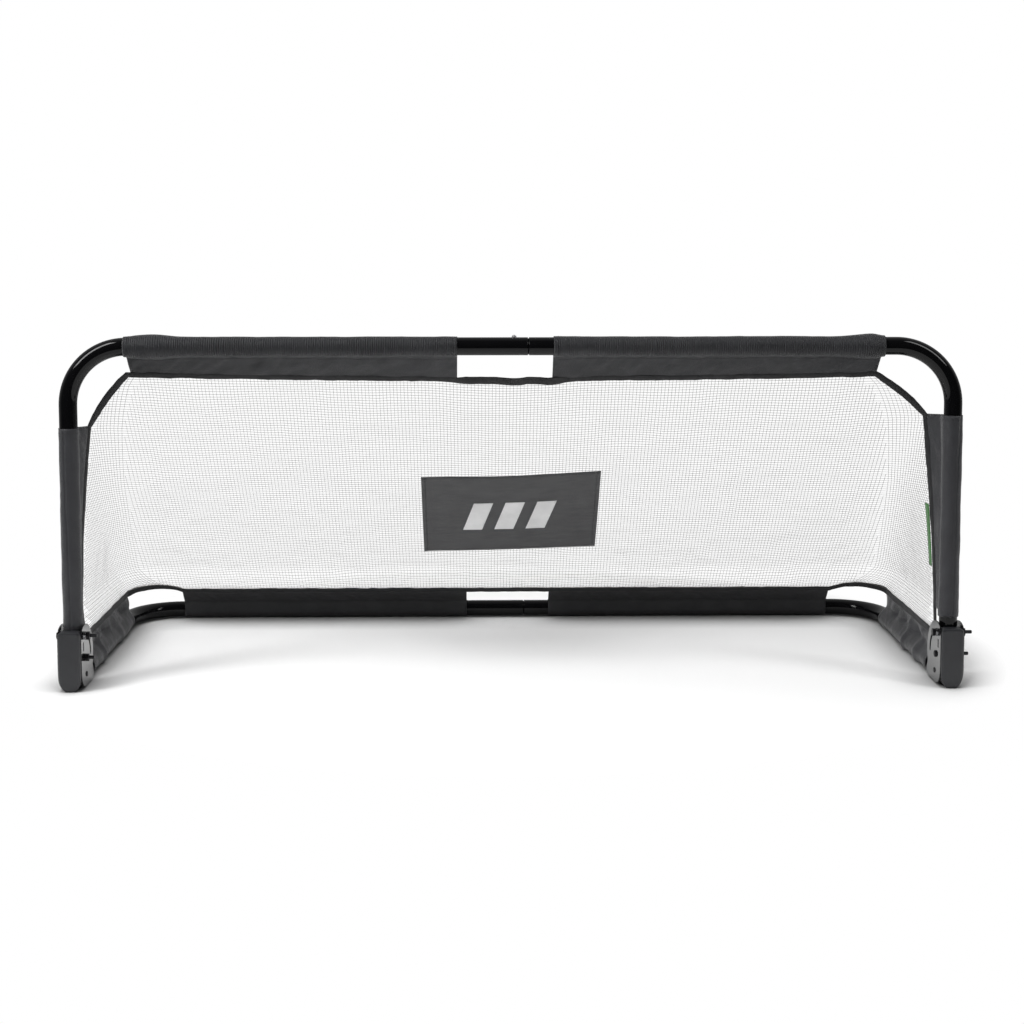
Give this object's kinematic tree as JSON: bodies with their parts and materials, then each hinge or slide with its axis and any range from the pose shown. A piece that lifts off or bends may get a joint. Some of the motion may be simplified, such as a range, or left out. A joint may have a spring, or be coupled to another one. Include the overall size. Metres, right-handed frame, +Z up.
{
  "type": "folding hockey goal",
  "caption": "Low wide folding goal: bent steel-tube front and ground frames hinged at the front feet, with fabric sleeves, fine net and moulded foot caps",
  "frame": {"origin": "On the floor, at the middle of the goal's outline", "axes": "+X across the mouth, to the right seen from the front; +Y from the mouth to the back; +Z up"},
  "size_m": [1.5372, 0.5926, 0.5916],
  "materials": {
    "frame_paint": "gloss black powder coat",
    "foot_plastic": "fine moulded texture, dark grey",
    "fasteners": "black zinc plated",
    "zinc": "bright zinc",
    "spring_steel": "bare spring steel",
    "spacer_nylon": "black nylon",
    "sleeve_fabric": "coated woven polyester, dark grey",
    "net_thread": "black knitted polyester thread, open mesh",
    "binding_tape": "black ribbed edge tape",
    "label_fabric": "printed woven polyester",
    "tag_green": "printed tag"
  },
  "bodies": {
    "ground_frame": {"back_sleeve_left": "sleeve_fabric", "back_sleeve_right": "sleeve_fabric", "back_spring_clip": "spring_steel", "bracket_plate_inner_left": "frame_paint", "bracket_plate_inner_right": "frame_paint", "bracket_plate_outer_left": "frame_paint", "bracket_plate_outer_right": "frame_paint", "care_tag": "tag_green", "edge_binding": "binding_tape", "foot_cap_left": "foot_plastic", "foot_cap_right": "foot_plastic", "ground_rivet_left": "fasteners", "ground_rivet_right": "fasteners", "ground_spacer_inner_left": "spacer_nylon", "ground_spacer_inner_right": "spacer_nylon", "ground_spacer_outer_left": "spacer_nylon", "ground_spacer_outer_right": "spacer_nylon", "ground_tube_left": "frame_paint", "ground_tube_right": "frame_paint", "label_patch": "label_fabric", "net_back": "net_thread", "net_left": "net_thread", "net_right": "net_thread", "pivot_bolt_left": "fasteners", "pivot_bolt_right": "fasteners", "pivot_nut_left": "fasteners", "pivot_nut_right": "fasteners", "pivot_spacer_inner_left": "spacer_nylon", "pivot_spacer_inner_right": "spacer_nylon", "pivot_spacer_outer_left": "spacer_nylon", "pivot_spacer_outer_right": "spacer_nylon", "side_sleeve_left": "sleeve_fabric", "side_sleeve_right": "sleeve_fabric"},
    "front_frame": {"front_tube_left": "frame_paint", "front_tube_right": "frame_paint", "guide_bolt_left": "fasteners", "guide_bolt_right": "fasteners", "guide_nut_left": "fasteners", "guide_nut_right": "fasteners", "guide_spacer_inner_left": "spacer_nylon", "guide_spacer_inner_right": "spacer_nylon", "guide_spacer_outer_left": "spacer_nylon", "guide_spacer_outer_right": "spacer_nylon", "guide_washer_head_left": "zinc", "guide_washer_head_right": "zinc", "guide_washer_nut_left": "zinc", "guide_washer_nut_right": "zinc", "leg_sleeve_left": "sleeve_fabric", "leg_sleeve_right": "sleeve_fabric", "top_sleeve_left": "sleeve_fabric", "top_sleeve_right": "sleeve_fabric", "top_spring_clip": "spring_steel"},
    "top_button": {"top_lock_button": "spring_steel"},
    "back_button": {"back_lock_button": "spring_steel"}
  },
  "joints": [
    {"name": "front_frame_fold", "type": "hinge", "parent": "ground_frame", "child": "front_frame", "pos_m": [0, -0.261, 0.052], "axis": [-1, 0, 0], "range_deg": [0, 90], "deforming": ["leg_sleeve_left", "leg_sleeve_right", "top_sleeve_left", "top_sleeve_right", "net_back", "net_left", "net_right", "edge_binding", "label_patch", "care_tag", "side_sleeve_left", "side_sleeve_right", "back_sleeve_left", "back_sleeve_right"]},
    {"name": "top_button_press", "type": "slide", "parent": "front_frame", "child": "top_button", "axis": [0, 0, -1], "range_m": [0, 0.0045], "stiffness_N_per_m": 900, "springref_m": -0.002, "deforming": ["top_spring_clip"]},
    {"name": "back_button_press", "type": "slide", "parent": "ground_frame", "child": "back_button", "axis": [0, -1, 0], "range_m": [0, 0.0045], "stiffness_N_per_m": 900, "springref_m": -0.002, "deforming": ["back_spring_clip"]}
  ]
}
